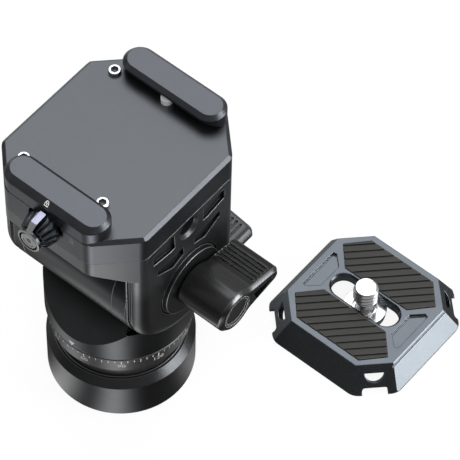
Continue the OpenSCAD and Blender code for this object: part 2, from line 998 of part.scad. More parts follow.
module trigger_spring() {
  color("#b5b8bb")
    translate([0, trigger_y, block_top])
      coil(housing_h - trigger_shelf - trigger_flange_h - trigger_travel - slip, 4, spring_mid_r);
}

// Tilt knob group

module tilt_knob() {
  color("#17181a")
    at_tilt_knob()
      knob_body();
}

module tilt_knob_cap() {
  color("#2a2b2e")
    at_tilt_knob()
      knob_cap();
}

module tilt_knob_stud() {
  color("#9b9ea2")
    bar_x(stud_end, tilt_knob_x + stud_grip, stud_r);
}

// Front jaw group

module front_jaw() {
  color("#5e6166")
    difference() {
      union() {
        jaw_block(front_jaw_y, jaw_lift);
        intersection() {
          union() {
            bar_y(boss_front, boss_back, boss_r, 0, lever_z);
            translate([-boss_r / 2, boss_front, lever_z])
              cube([boss_r, boss_back - boss_front, lever_drop + 1]);
          }
          translate([-boss_r, boss_front, lever_z + running])
            cube([2 * boss_r, boss_back - boss_front, lever_drop + 1]);
        }
      }
      undercut(lip_front, -1);
      bar_y(boss_front - over, boss_back + over, lever_shaft_r + running, 0, lever_z);
      for (s = [-1, 1])
        bar_y(boss_front + 1, boss_back + over, pin_r, s * pin_x, lever_z + pin_rise);
    }
}

module jaw_guide_pins() {
  color("#a9acb0")
    for (s = [-1, 1])
      bar_y(boss_front + 1, pin_back, pin_r, s * pin_x, lever_z + pin_rise);
}

// Lever group

module lock_lever() {
  total = lever_back - lever_front;
  barrel = total * 0.5;
  waist_end = total - lever_disc_t;
  lean = atan((lever_r - lever_mid_r) / barrel);
  color("#232427")
    translate([0, lever_back, lever_z])
      difference() {
        union() {
          rotate([90, 0, 0]) {
            cylinder(h = barrel, r1 = lever_r, r2 = lever_mid_r);
            cylinder(h = total - over, r = lever_waist_r);
            translate([0, 0, waist_end])
              cylinder(h = lever_disc_t, r = lever_tip_r);
          }
          bar_y(-over, boss_front - lever_back - side_gap, lever_hub_r, 0, 0);
          translate([-lever_fin_w / 2, 0, 0])
            rotate([90, 0, 90])
              linear_extrude(lever_fin_w)
                polygon([
                  [0, 0], [0, lever_r + lever_fin_rise], [-barrel, lever_r + lever_fin_rise / 2],
                  [over - total, lever_tip_r - 0.1], [over - total, 0]
                ]);
        }
        for (i = [1 : flute_count - 1])
          rotate([0, i * 360 / flute_count, 0])
            translate([0, over, lever_r + flute_r / 2])
              rotate([90 + lean, 0, 0])
                cylinder(h = barrel + 1, r = flute_r, $fn = 24);
        bar_y(1 - total, boss_front - lever_back, lever_shaft_r, 0, 0);
        bar_y(-total - over, 1 - total + over, lever_screw_head_r, 0, 0);
      }
}

module lever_screw() {
  color("#c9cbce")
    difference() {
      union() {
        bar_y(lever_front + 0.2, lever_front + 1, lever_screw_head_r, 0, lever_z);
        bar_y(lever_front + 1, lever_front + 1 + shaft_grip, lever_screw_r, 0, lever_z);
      }
      translate([0, lever_front + 0.1, lever_z])
        rotate([-90, 0, 0])
          cylinder(h = 0.6, r = small_hex_r, $fn = 6);
    }
}

module lever_shaft() {
  color("#9b9ea2")
    difference() {
      bar_y(lever_front + 1, shaft_back, lever_shaft_r, 0, lever_z);
      bar_y(lever_front + 1 - over, lever_front + 1 + shaft_grip, lever_screw_r, 0, lever_z);
    }
}

// Trigger group

module trigger_pin() {
  low = seat_z - trigger_shelf - trigger_flange_h;
  color("#d6d8da")
    translate([0, trigger_y, low - running]) {
      cylinder(h = trigger_flange_h, r = trigger_flange_r);
      cylinder(h = trigger_top - low, r = trigger_r);
    }
}

// Plate group

// Bar with slanted sides, lying along X
module slanted_bar(bottom_half, top_half, low, high) {
  rotate([90, 0, 90])
    linear_extrude(2 * plate_bottom, center = true)
      polygon([[-bottom_half, low], [bottom_half, low], [top_half, high], [-top_half, high]]);
}

// Plate solid, drawn in from its outer faces by the given inset
module plate_solid(inset, low, high) {
  side_slope = (plate_bottom - plate_top) / 2 / plate_h;
  corner_slope = (plate_corner_bottom - plate_corner_top) / plate_h;
  side_low = plate_bottom / 2 - inset - side_slope * low;
  side_high = plate_bottom / 2 - inset - side_slope * high;
  corner_low = plate_corner_bottom - inset - corner_slope * low;
  corner_high = plate_corner_bottom - inset - corner_slope * high;
  intersection() {
    slanted_bar(side_low, side_high, low, high);
    rotate(90)
      slanted_bar(side_low, side_high, low, high);
    rotate(45)
      slanted_bar(corner_low, corner_high, low, high);
    rotate(-45)
      slanted_bar(corner_low, corner_high, low, high);
  }
}

// Corner of an octagon whose sides and cut corners lie at the given distances
function octagon_corner(i, side, cut) =
  let (turn = 90 * floor(i / 2), near = cut * sqrt(2) - side)
  i % 2 == 0
    ? side * arm(turn) + near * arm(turn + 90)
    : near * arm(turn) + side * arm(turn + 90);

// Outline of the plate's underside, with rounded upright edges
module plate_outline() {
  side = plate_bottom / 2 - plate_round;
  cut = plate_corner_bottom - plate_round;
  polygon([
    for (i = [0 : 7], k = [0 : round_steps])
      octagon_corner(i, side, cut) + plate_round * arm(45 * (i + k / round_steps))
  ]);
}

// Screw slot with a bevelled top edge
module screw_slot() {
  web = plate_h - plate_wall;
  straight = slot_l - 2 * slot_r;
  rim_r = slot_r + slot_bevel + over;
  for (s = [-1, 1])
    translate([s * straight / 2, 0, 0]) {
      translate([0, 0, web - over])
        cylinder(h = plate_wall + 2 * over, r = slot_r);
      translate([0, 0, plate_h - slot_bevel])
        cylinder(h = slot_bevel + over, r1 = slot_r, r2 = rim_r);
    }
  rotate([90, 0, 90])
    linear_extrude(straight, center = true)
      polygon([
        [-slot_r, web - over], [slot_r, web - over], [slot_r, plate_h - slot_bevel],
        [rim_r, plate_h + over], [-rim_r, plate_h + over], [-slot_r, plate_h - slot_bevel]
      ]);
}

// Half-round strap hole and notch in the plate's corner along +X
module corner_cuts() {
  face = plate_corner_bottom
    - (plate_corner_bottom - plate_corner_top) * strap_high / plate_h;
  reach = plate_corner_bottom - plate_bottom / 2 + plate_skirt + 3;
  translate([face, 0, strap_high])
    rotate([0, -90 - strap_tilt, 0])
      translate([0, 0, -strap_l / 3])
        linear_extrude(strap_l)
          intersection() {
            circle(r = strap_r);
            translate([-strap_r, -strap_r])
              square([strap_r, 2 * strap_r]);
          }
  translate([plate_corner_bottom - reach, 0, 0]) {
    translate([0, -notch_w / 2, -over])
      cube([reach + over, notch_w, notch_h - notch_r + over]);
    translate([0, notch_r - notch_w / 2, -over])
      cube([reach + over, notch_w - 2 * notch_r, notch_h + over]);
    for (s = [-1, 1])
      translate([0, s * (notch_w / 2 - notch_r), notch_h - notch_r])
        rotate([0, 90, 0])
          cylinder(h = reach + over, r = notch_r);
  }
}

// Outline of one rubber pad, on the +Y half of the plate
module pad_outline() {
  middle = (pad_y + pad_y_in) / 2;
  polygon([
    [-pad_x, middle], [-pad_x_in, pad_y_in], [pad_x_in, pad_y_in],
    [pad_x, middle], [pad_x_in, pad_y], [-pad_x_in, pad_y]
  ]);
}

module plate_body() {
  web = plate_h - plate_wall;
  color("#2f3033")
    translate([plate_x, plate_y, 0])
      difference() {
        intersection() {
          plate_solid(0, 0, plate_h);
          linear_extrude(plate_h)
            plate_outline();
        }
        plate_solid(plate_skirt, -over, web);
        screw_slot();
        for (s = [0, 1])
          mirror([0, s, 0])
            translate([0, 0, plate_h - pad_recess])
              linear_extrude(pad_recess + over)
                pad_outline();
        for (s = [0, 1])
          mirror([s, 0, 0])
            translate([0, 0, plate_h - pocket_d])
              linear_extrude(pocket_d + over)
                polygon([
                  [11.2, 3.6], [14, 6.3], [15, 6], [15, -6], [14, -6.3], [11.2, -3.6]
                ]);
        for (a = [45 : 90 : 315])
          rotate(a)
            corner_cuts();
        for (s = [-1, 1])
          translate([s * (plate_top / 2 + line_drop / 2), 0, plate_h - line_drop])
            cube([line_w, plate_top - 6, line_w], center = true);
      }
}

module plate_pads() {
  color("#4a4947")
    translate([plate_x, plate_y, plate_h - pad_recess])
      for (s = [0, 1])
        mirror([0, s, 0])
          difference() {
            linear_extrude(pad_recess + pad_rise)
              pad_outline();
            for (i = [-12 : 12])
              translate([i * rib_pitch * sqrt(2), 0, pad_recess + pad_rise])
                rotate((1 - 2 * s) * 45)
                  cube([2 * plate_bottom, rib_gap, 2 * pad_rise], center = true);
          }
}

module screw_washer() {
  top = plate_h - plate_wall - running;
  color("#b5b8bb")
    translate([plate_x, plate_y, 0])
      tube_z(top - screw_washer_t, top, washer_r, screw_r + running);
}

module camera_screw() {
  head_top = plate_h - plate_wall - screw_washer_t - 2 * running;
  thread_z = plate_h + thread_rise;
  tip_z = plate_h + screw_rise;
  color("#d6d8da")
    translate([plate_x, plate_y, 0])
      difference() {
        union() {
          translate([0, 0, head_top - screw_head_h])
            cylinder(h = screw_head_h, r = screw_head_r);
          translate([0, 0, head_top - over])
            cylinder(h = thread_z - head_top + 2 * over, r = screw_neck_r);
          translate([0, 0, thread_z])
            cylinder(h = screw_rise - thread_rise - screw_tip, r = screw_r);
          translate([0, 0, tip_z - screw_tip])
            cylinder(h = screw_tip, r1 = screw_r, r2 = screw_r - screw_tip);
        }
        translate([0, 0, head_top - screw_head_h])
          cube([screw_slot_w, 2 * screw_head_r + 1, screw_head_h], center = true);
      }
}

base_body();
thread_insert();
scale_ring();
pan_drag_ring();
pan_shaft();
shaft_screws();
thrust_washer();
pan_spring_washer();
pan_nut();
pan_body();
pan_bush();
tilt_bushes();
drum_seals();
drag_stator();
drum_cover();
drum_cover_screws();
pan_brake_shoe();
pan_knob();
pan_knob_cap();
pan_knob_stud();
tilt_body();
tilt_axle();
drag_rotor();
axle_cap();
knob_washer();
clamp_housing();
seat_screws();
rear_jaw();
rear_jaw_screws();
jaw_springs();
trigger_spring();
tilt_knob();
tilt_knob_cap();
tilt_knob_stud();
front_jaw();
jaw_guide_pins();
lock_lever();
lever_screw();
lever_shaft();
trigger_pin();
plate_body();
plate_pads();
screw_washer();
camera_screw();
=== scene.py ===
import math

import bmesh
import bpy
from mathutils import Matrix, Vector


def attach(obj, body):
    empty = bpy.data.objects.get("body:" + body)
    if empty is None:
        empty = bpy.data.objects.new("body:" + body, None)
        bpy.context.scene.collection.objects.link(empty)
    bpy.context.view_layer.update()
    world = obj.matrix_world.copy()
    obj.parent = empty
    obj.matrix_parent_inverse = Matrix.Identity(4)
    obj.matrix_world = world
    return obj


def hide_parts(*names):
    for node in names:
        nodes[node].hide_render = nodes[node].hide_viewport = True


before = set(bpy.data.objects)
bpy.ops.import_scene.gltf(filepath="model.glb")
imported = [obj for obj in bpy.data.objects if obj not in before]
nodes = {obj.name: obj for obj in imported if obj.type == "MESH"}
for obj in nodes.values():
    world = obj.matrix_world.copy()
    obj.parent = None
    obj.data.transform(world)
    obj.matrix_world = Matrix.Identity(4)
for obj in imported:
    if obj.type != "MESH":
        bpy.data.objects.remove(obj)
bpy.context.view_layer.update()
MM = 0.001

# Sizes repeated from the part's source, in millimetres
AXIS_H = 53.4
BASE_R = 18.35
BASE_H = 14.0
RING_H = 10.4
HALF_Y = 24.4
SEAT_Z = 85.5
LEVER_Z = 82.0
PLATE = (39.4, 47.2)
LEVER_HOLE_R = 1.72
TILT_KNOB_X = 22.8
PAN_KNOB_Y = 19.1
PAN_KNOB_H = 31.0


# Small helpers for node trees

def new(tree, kind, **values):
    n = tree.nodes.new(kind)
    for key, value in values.items():
        setattr(n, key, value)
    return n


def feed(tree, socket, value):
    """Sets a socket to a number, a vector or a colour, or links an output to it."""
    if isinstance(value, tuple):
        socket.default_value = (*value, 1)
    elif isinstance(value, (int, float, Vector)):
        socket.default_value = value
    else:
        tree.links.new(value, socket)


def math_node(tree, op, *values):
    n = new(tree, "ShaderNodeMath", operation=op)
    for i, v in enumerate(values):
        feed(tree, n.inputs[i], v)
    return n.outputs[0]


def vector_math(tree, op, *vectors):
    n = new(tree, "ShaderNodeVectorMath", operation=op)
    for i, v in enumerate(vectors):
        feed(tree, n.inputs[i], v)
    return n.outputs["Value"]


def axes_of(tree, vector):
    n = new(tree, "ShaderNodeSeparateXYZ")
    feed(tree, n.inputs[0], vector)
    return n.outputs


def ramp(tree, value, low, high, out_low=0.0, out_high=1.0):
    n = new(tree, "ShaderNodeMapRange", interpolation_type="SMOOTHSTEP")
    feed(tree, n.inputs["Value"], value)
    feed(tree, n.inputs["From Min"], low)
    feed(tree, n.inputs["From Max"], high)
    feed(tree, n.inputs["To Min"], out_low)
    feed(tree, n.inputs["To Max"], out_high)
    return n.outputs[0]


def mix_colour(tree, fac, a, b):
    n = new(tree, "ShaderNodeMix", data_type="RGBA")
    for slot, v in ((0, fac), (6, a), (7, b)):
        feed(tree, n.inputs[slot], v)
    return n.outputs[2]


def mix_value(tree, fac, a, b):
    n = new(tree, "ShaderNodeMix", data_type="FLOAT")
    for slot, v in ((0, fac), (2, a), (3, b)):
        feed(tree, n.inputs[slot], v)
    return n.outputs[0]


def noise(tree, coord, scale, detail, stretch=None):
    if stretch:
        m = new(tree, "ShaderNodeMapping")
        m.inputs["Scale"].default_value = stretch
        feed(tree, m.inputs["Vector"], coord)
        coord = m.outputs[0]
    n = new(tree, "ShaderNodeTexNoise")
    feed(tree, n.inputs["Scale"], scale)
    feed(tree, n.inputs["Detail"], detail)
    feed(tree, n.inputs["Vector"], coord)
    return n.outputs["Fac"]


# Finishes

CLOUD_SCALE = 140.0
CLOUD_DETAIL = 4.0
GRAIN_DETAIL = 2.0
GRAIN_DEPTH = 0.00006
VARY = 0.06
CREASE_SHADE = 0.12


def finish(
    name,
    colour,
    rough,
    metallic=1.0,
    specular=0.5,
    grain=0.06,
    grain_scale=5200.0,
    stretch=None,
    edge_highlight=None,
    edge_width=0.25,
    crease_shading=0.0,
    crease_from=0.5,
    side=None,
    upper=None,
):
    """Procedural finish: fine grain, cloudy variation, softened edges, painted highlights on rims
    and upright faces, and painted shade in creases and by height.

    grain is the strength of the fine bumps, and stretch draws them out along an axis.
    edge is the colour of a painted highlight on rims, edge_width how far, in millimetres, edges are
    softened.
    crease is how far, in millimetres, painted shade darkens grooves, crease_from how open the
    darkest are.
    side is the colour of upright faces, a painted highlight lighter than the rest.
    upper is a height, the colour above it and how far it fades, with lengths in millimetres; it
    paints shade by height.
    """
    m = bpy.data.materials.new(name)
    m.use_nodes = True
    t = m.node_tree
    bsdf = t.nodes["Principled BSDF"]
    coord = new(t, "ShaderNodeTexCoord").outputs["Object"]
    cloud = noise(t, coord, CLOUD_SCALE, CLOUD_DETAIL)
    fine = noise(t, coord, grain_scale, GRAIN_DETAIL, stretch)
    dark = tuple(c * (1 - VARY) for c in colour)
    light = tuple(min(1.0, c * (1 + VARY)) for c in colour)
    tone = mix_colour(t, ramp(t, cloud, 0.3, 0.7), dark, light)
    # Painted highlight: upright faces take the lighter side colour
    if side:
        normal = new(t, "ShaderNodeTexCoord").outputs["Normal"]
        upright = ramp(t, axes_of(t, normal)["Z"], 0.7, 0.6)
        tone = mix_colour(t, upright, tone, side)
    # Painted shade by height: one colour below the height, another above it
    if upper:
        height, above, fade = upper
        low, high = (height - fade) * MM, (height + fade) * MM
        tone = mix_colour(t, ramp(t, axes_of(t, coord)["Z"], low, high), tone, above)
    speckle = math_node(t, "MULTIPLY_ADD", fine, 0.5, cloud)
    roughness = ramp(t, speckle, 0.45, 1.1, rough * 0.92, min(1.0, rough * 1.1))
    soft = new(t, "ShaderNodeBevel", samples=8)
    feed(t, soft.inputs["Radius"], edge_width * MM)
    # Painted highlight: rims take a lighter colour where the softened normal turns away from the
    # face
    if edge_highlight:
        flat = new(t, "ShaderNodeNewGeometry").outputs["Normal"]
        rim_highlight = ramp(t, vector_math(t, "DOT_PRODUCT", soft.outputs[0], flat), 0.99, 0.86)
        rim_highlight = math_node(t, "MULTIPLY", rim_highlight, ramp(t, fine, 0.2, 0.65, 0.85, 1.0))
        tone = mix_colour(t, rim_highlight, tone, edge_highlight)
    # Painted shade: grooves and hollows darken where ambient occlusion finds nearby surfaces
    if crease_shading:
        open_sky = new(t, "ShaderNodeAmbientOcclusion", samples=6, only_local=True)
        feed(t, open_sky.inputs["Distance"], crease_shading * MM)
        shade = tuple(c * CREASE_SHADE for c in colour)
        tone = mix_colour(t, ramp(t, open_sky.outputs["AO"], crease_from, 1.0), shade, tone)
    bump = new(t, "ShaderNodeBump")
    feed(t, bump.inputs["Strength"], grain)
    feed(t, bump.inputs["Distance"], GRAIN_DEPTH)
    feed(t, bump.inputs["Height"], fine)
    feed(t, bump.inputs["Normal"], soft.outputs[0])
    feed(t, bsdf.inputs["Normal"], bump.outputs[0])
    feed(t, bsdf.inputs["Base Color"], tone)
    feed(t, bsdf.inputs["Roughness"], roughness)
    feed(t, bsdf.inputs["Metallic"], metallic)
    feed(t, bsdf.inputs["Specular IOR Level"], specular)
    return m


TURNED = (1, 1, 14)
# In the table below the rim colours are painted highlights and the darkened grooves are painted
# shade
M = {
    "seat": finish("anodised_grey", (0.108, 0.114, 0.122), 0.40, edge_highlight=(0.16, 0.168, 0.18)),
    "jaw": finish(
        "anodised_jaw", (0.103, 0.107, 0.118), 0.38, edge_highlight=(0.3, 0.31, 0.33), edge_width=0.2
    ),
    # Painted shade: the cheeks below 63 mm are darker than the block above them, and the pockets
    # darken
    "block": finish(
        "anodised_painted_shade_below", (0.046, 0.047, 0.049), 0.32, metallic=0.86,
        edge_highlight=(0.44, 0.45, 0.465), edge_width=0.3, crease_shading=1.6,
        upper=(63.0, (0.094, 0.096, 0.1), 3.5),
    ),
    "base": finish(
        "turned_black", (0.103, 0.105, 0.109), 0.30, edge_highlight=(0.22, 0.225, 0.235), stretch=TURNED
    ),
    # Painted shade: the drum above 37 mm is darker than the collar below it, and the flat beside
    # the drum darkens
    "drum": finish(
        "drum_painted_shade", (0.104, 0.107, 0.112), 0.30,
        edge_highlight=(0.16, 0.164, 0.17), crease_shading=9.0, crease_from=0.72,
        upper=(37.0, (0.062, 0.064, 0.067), 1.0),
    ),
    "ring": finish(
        "ring_grey", (0.105, 0.105, 0.104), 0.36, metallic=0.85,
        edge_highlight=(0.3, 0.3, 0.3), stretch=TURNED,
    ),
    "knob": finish(
        "knob_black", (0.008, 0.008, 0.0082), 0.24, metallic=0.0, specular=0.6,
        edge_highlight=(0.06, 0.06, 0.062),
    ),
    "knob_grip": finish(
        "knob_grip", (0.004, 0.004, 0.0042), 0.28, metallic=0.0, specular=0.35,
        edge_highlight=(0.4, 0.4, 0.405), edge_width=0.24, crease_shading=0.4,
    ),
    "pan_grip": finish(
        "pan_grip", (0.02, 0.02, 0.0205), 0.28, metallic=0.0, specular=0.7,
        edge_highlight=(0.6, 0.6, 0.605), edge_width=0.26, crease_shading=0.4,
    ),
    "knob_edge": finish("knob_bevel", (0.17, 0.17, 0.174), 0.24, edge_highlight=(0.25, 0.25, 0.255)),
    # Painted shade: knob hollows and the lever's end groove are near black with little gloss
    "pit_shade": finish("hollow_painted_shade", (0.003, 0.003, 0.003), 0.6, metallic=0.0, specular=0.2),
    "trim": finish(
        "knob_trim", (0.016, 0.016, 0.0163), 0.42, metallic=0.0, specular=0.3,
        edge_highlight=(0.6, 0.605, 0.61), edge_width=0.22,
    ),
    "lever": finish(
        "lever_black", (0.075, 0.085, 0.098), 0.2, edge_highlight=(0.22, 0.24, 0.27), crease_shading=0.5
    ),
    "lever_face": finish(
        "lever_face", (0.3, 0.3, 0.298), 0.36, metallic=0.6, edge_highlight=(0.5, 0.5, 0.5)
    ),
    # Painted highlight: the plate's upright sides are lighter than its top
    "plate": finish(
        "plate_anodised", (0.102, 0.112, 0.125), 0.25, grain=0.025,
        edge_highlight=(0.26, 0.275, 0.3), edge_width=0.3, side=(0.22, 0.24, 0.26),
    ),
    "rubber": finish(
        "ribbed_rubber", (0.045, 0.0438, 0.041), 0.62, metallic=0.0, specular=0.3,
        grain=0.35, grain_scale=3200.0, edge_highlight=(0.09, 0.088, 0.084), crease_shading=0.7,
    ),
    "seal": finish(
        "seal_rubber", (0.02, 0.02, 0.02), 0.6, metallic=0.0, specular=0.3, grain=0.2
    ),
    "steel": finish(
        "bright_steel", (0.66, 0.66, 0.665), 0.2, grain=0.03, edge_highlight=(0.92, 0.92, 0.92)
    ),
    "shaft": finish("ground_steel", (0.5, 0.51, 0.52), 0.3, grain=0.05, edge_highlight=(0.75, 0.75, 0.76)),
    "bronze": finish("turned_bronze", (0.55, 0.36, 0.15), 0.34, grain=0.05),
    "polymer": finish("drag_polymer", (0.55, 0.51, 0.42), 0.5, metallic=0.0, grain=0.08),
    "mark": finish(
        "printed_mark", (0.46, 0.46, 0.455), 0.5, metallic=0.0, specular=0.3, grain=0.03
    ),
    "sign": finish("printed_sign", (0.8, 0.8, 0.8), 0.5, metallic=0.0, specular=0.3, grain=0.03),
    "faint": finish(
        "faint_sign", (0.2, 0.2, 0.205), 0.5, metallic=0.0, specular=0.3, grain=0.03
    ),
    # Painted highlight: a bluish strip with light edges along the top of the lever's fin
    "pointer": finish(
        "fin_highlight_paint", (0.5, 0.52, 0.68), 0.4, metallic=0.0, specular=0.4, grain=0.03,
        edge_highlight=(0.85, 0.86, 0.9), edge_width=0.3,
    ),
    # Painted shade: the seat screws' hex sockets are dark inside
    "socket": finish("socket_painted_shade", (0.1, 0.1, 0.1), 0.4, metallic=0.5),
    # Painted light: the trigger pin is whiter and partly diffuse, so it looks lit in the shade
    # under the jaw's lip
    "pin": finish(
        "pin_painted_bright", (0.8, 0.8, 0.8), 0.3, metallic=0.4, grain=0.03, edge_highlight=(0.95, 0.95, 0.95)
    ),
}

WEAR = {
    "seat": ["clamp_housing"],
    "jaw": ["rear_jaw", "front_jaw"],
    "block": ["tilt_body", "knob_washer", "axle_cap"],
    "base": ["base_body"],
    "drum": ["pan_body", "drum_cover"],
    "ring": ["scale_ring"],
    "knob": ["tilt_knob", "pan_knob"],
    "trim": ["tilt_knob_cap", "pan_knob_cap"],
    "lever": ["lock_lever"],
    "lever_face": ["lever_screw"],
    "plate": ["plate_body"],
    "rubber": ["plate_pads"],
    "seal": ["drum_seals"],
    "steel": [
        "seat_screws", "rear_jaw_screws", "jaw_springs", "trigger_spring", "camera_screw",
        "screw_washer", "jaw_guide_pins", "drum_cover_screws", "shaft_screws",
    ],
    "shaft": [
        "pan_shaft", "tilt_axle", "pan_nut", "pan_spring_washer", "tilt_knob_stud",
        "pan_knob_stud", "lever_shaft", "drag_rotor", "drag_stator", "thread_insert",
    ],
    "pin": ["trigger_pin"],
    "bronze": ["pan_bush", "tilt_bushes"],
    "polymer": ["pan_drag_ring", "thrust_washer", "pan_brake_shoe"],
}
for key, names in WEAR.items():
    for n in names:
        data = nodes[n].data
        data.materials.clear()
        data.materials.append(M[key])


# New pieces; their lengths are in millimetres and their angles in degrees

def new_object(name, data):
    obj = bpy.data.objects.new(name, data)
    bpy.context.collection.objects.link(obj)
    return obj


def piece(name, bm, materials, body, sharp=None):
    """Makes a mesh piece that rides on a body; edges above the angle sharp stay hard."""
    mesh = bpy.data.meshes.new(name)
    bm.to_mesh(mesh)
    bm.free()
    obj = new_object(name, mesh)
    for m in materials:
        mesh.materials.append(m)
    if sharp:
        mesh.shade_smooth()
        mesh.set_sharp_from_angle(angle=math.radians(sharp))
    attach(obj, body)
    return obj


def bridge(bm, rows, closed=True, finish_at=0):
    """Joins rows of as many points each with faces.

    finish_at picks the finish, for all faces or by column.
    """
    for a, b in zip(rows, rows[1:]):
        count = len(a)
        for s in range(count if closed else count - 1):
            q = (s + 1) % count
            face = bm.faces.new((a[s], a[q], b[q], b[s]))
            face.material_index = finish_at(s) if callable(finish_at) else finish_at


def cap_face(bm, loops):
    """Fills the face between an outer loop and the holes in it."""
    edges = []
    for loop in loops:
        for a, b in zip(loop, loop[1:] + loop[:1]):
            edges.append(bm.edges.get((a, b)) or bm.edges.new((a, b)))
    bmesh.ops.triangle_fill(bm, use_beauty=True, use_dissolve=False, edges=edges)


def arm(angle, radius=1.0):
    a = math.radians(angle)
    return Vector((radius * math.cos(a), radius * math.sin(a)))


def circle(radius, steps=48):
    return [arm(360 * i / steps, radius) for i in range(steps)]


def bend(a, corner, b, t):
    """Point at the share t of a curve from a to b that turns towards a corner."""
    return a * (1 - t) ** 2 + corner * (2 * t * (1 - t)) + b * t ** 2


def round_loop(corners, radius, steps=4):
    """Polygon with rounded corners."""
    out = []
    count = len(corners)
    for i in range(count):
        c = Vector(corners[i])
        a = c + (Vector(corners[i - 1]) - c).normalized() * radius
        b = c + (Vector(corners[(i + 1) % count]) - c).normalized() * radius
        for k in range(steps + 1):
            out.append(bend(a, c, b, k / steps))
    return out


def inset(points, amount):
    out = []
    count = len(points)
    for i, p in enumerate(points):
        d = (points[(i + 1) % count] - points[i - 1]).normalized()
        out.append(p + Vector((-d.y, d.x)) * amount)
    return out


# Winged knob in its own frame: Z out of the head, X along the wing, Y up
KNOB_R = 5.8
KNOB_L = 13.2
WING_REACH = 13.1
WING_TIP_R = 2.3
WING_TURN = math.radians(-1.5)
SHOULDER = 42
SHOULDER_EASE = 10
TIP_SWEEP = 78
BARREL_STEPS = 48
FILLET_STEPS = 6
TIP_STEPS = 12
CAP_R = 4.32
CAP_T = 1.4
STUD_R = 3.02
STUD_GRIP = 7.0
KNOB_FIT = 0.02
HOLLOW = [(6.0, 0.6), (7.0, -2.6), (12.5, -1.0), (12.7, -0.2)]
HOLLOW_R = 0.3
HOLLOW_D = 5.0
KNOB_SHARP = 32

# Grip grooves: places as shares of the flank, section as half widths and shares of the depth
FLANK_PLAIN = (0.16, 0.24)
GROOVES = 5
GROOVE_FIRST = 0.32
GROOVE_STEP = 0.135
GROOVE_W = 0.36
GROOVE_D = 0.55
GROOVE_SECTION = (
    (-1.25, 0.0), (-1.0, 0.12), (-0.6, 0.85), (0.0, 1.0), (0.6, 0.85), (1.0, 0.12), (1.25, 0.0)
)

# Rows along the knob: distance in from the outline, Z, and whether the grooves are cut there
KNOB_ROWS = (
    (0.35, 0.0, False),
    (0.0, 0.35, False),
    (0.0, 0.75, True),
    (0.0, KNOB_L - 1.75, True),
    (0.0, KNOB_L - 1.35, False),
    (0.0, KNOB_L - 0.92, False),
    (0.07, KNOB_L - 0.78, False),
    (0.71, KNOB_L - 0.14, False),
    (0.85, KNOB_L, False),
)
BEVEL_ROW = 5
ON_KNOB, ON_BEVEL, ON_PIT, ON_GRIP = range(4)


def flank(side):
    """Points of one flank from barrel to tip, each with the shift that cuts the grooves."""
    start = arm(SHOULDER, KNOB_R)
    end = Vector((WING_REACH, 0)) + arm(TIP_SWEEP, WING_TIP_R)
    length = (end - start).length
    places = [(t, 0.0) for t in FLANK_PLAIN]
    for i in range(GROOVES):
        at = GROOVE_FIRST + GROOVE_STEP * i
        for step, depth in GROOVE_SECTION:
            places.append((at + step * GROOVE_W / length, depth))
    inward = Vector((-(end - start).y, (end - start).x)).normalized() * -1
    points = []
    for t, depth in places:
        p = start + (end - start) * t
        q = inward * (depth * GROOVE_D)
        points.append(((p.x, side * p.y), (q.x, side * q.y)))
    return points


def knob_outline():
    """Closed outline, as pairs of a point and the shift that cuts the grooves."""
    still = (0.0, 0.0)
    first = SHOULDER + SHOULDER_EASE
    pts = []
    for i in range(BARREL_STEPS + 1):
        a = first + i * (360 - 2 * first) / BARREL_STEPS
        pts.append((tuple(arm(a, KNOB_R)), still))
    leave, corner = arm(-first, KNOB_R), arm(-SHOULDER, KNOB_R)
    meet = Vector(flank(-1)[0][0])
    fillet = []
    for i in range(1, FILLET_STEPS):
        fillet.append((tuple(bend(leave, corner, meet, i / FILLET_STEPS)), still))
    pts += fillet
    pts += flank(-1)
    for i in range(TIP_STEPS + 1):
        p = Vector((WING_REACH, 0)) + arm((2 * i / TIP_STEPS - 1) * TIP_SWEEP, WING_TIP_R)
        pts.append((tuple(p), still))
    pts += list(reversed(flank(1)))
    pts += [((p[0], -p[1]), still) for p, _ in reversed(fillet)]
    return pts


def knob(place):
    bm = bmesh.new()

    def loop(points, z):
        return [bm.verts.new(place(Vector((p.x, p.y, z))) * MM) for p in points]

    pairs = knob_outline()
    turn = Matrix.Rotation(WING_TURN, 2)
    plain = [turn @ Vector(p) for p, _ in pairs]
    grooved = [turn @ (Vector(p) + Vector(q)) for p, q in pairs]
    rows = [loop(inset(grooved if cut else plain, by), z) for by, z, cut in KNOB_ROWS]
    wing = range(BARREL_STEPS + FILLET_STEPS - 1, len(pairs) - FILLET_STEPS)
    bridge(bm, rows[: BEVEL_ROW + 1], finish_at=lambda s: ON_GRIP if s in wing else ON_KNOB)
    bridge(bm, rows[BEVEL_ROW:], finish_at=ON_BEVEL)
    hollow = round_loop(HOLLOW, HOLLOW_R)
    seat = [loop(circle(CAP_R), KNOB_L), loop(circle(CAP_R), KNOB_L - CAP_T - KNOB_FIT)]
    pit = [loop(hollow, KNOB_L), loop(hollow, KNOB_L - HOLLOW_D)]
    bore = [loop(circle(STUD_R), 0.0), loop(circle(STUD_R), STUD_GRIP + KNOB_FIT)]
    for walls, at in ((seat, ON_KNOB), (pit, ON_PIT), (bore, ON_KNOB)):
        bridge(bm, walls, finish_at=at)
        bm.faces.new(walls[1]).material_index = at
    cap_face(bm, [rows[-1], seat[0], pit[0]])
    cap_face(bm, [rows[0], bore[0]])
    bmesh.ops.recalc_face_normals(bm, faces=bm.faces)
    return bm


def on_tilt(p):
    return Vector((TILT_KNOB_X + p.z, p.x, AXIS_H + p.y))


def on_pan(p):
    return Vector((p.x, PAN_KNOB_Y + p.z, PAN_KNOB_H + p.y))


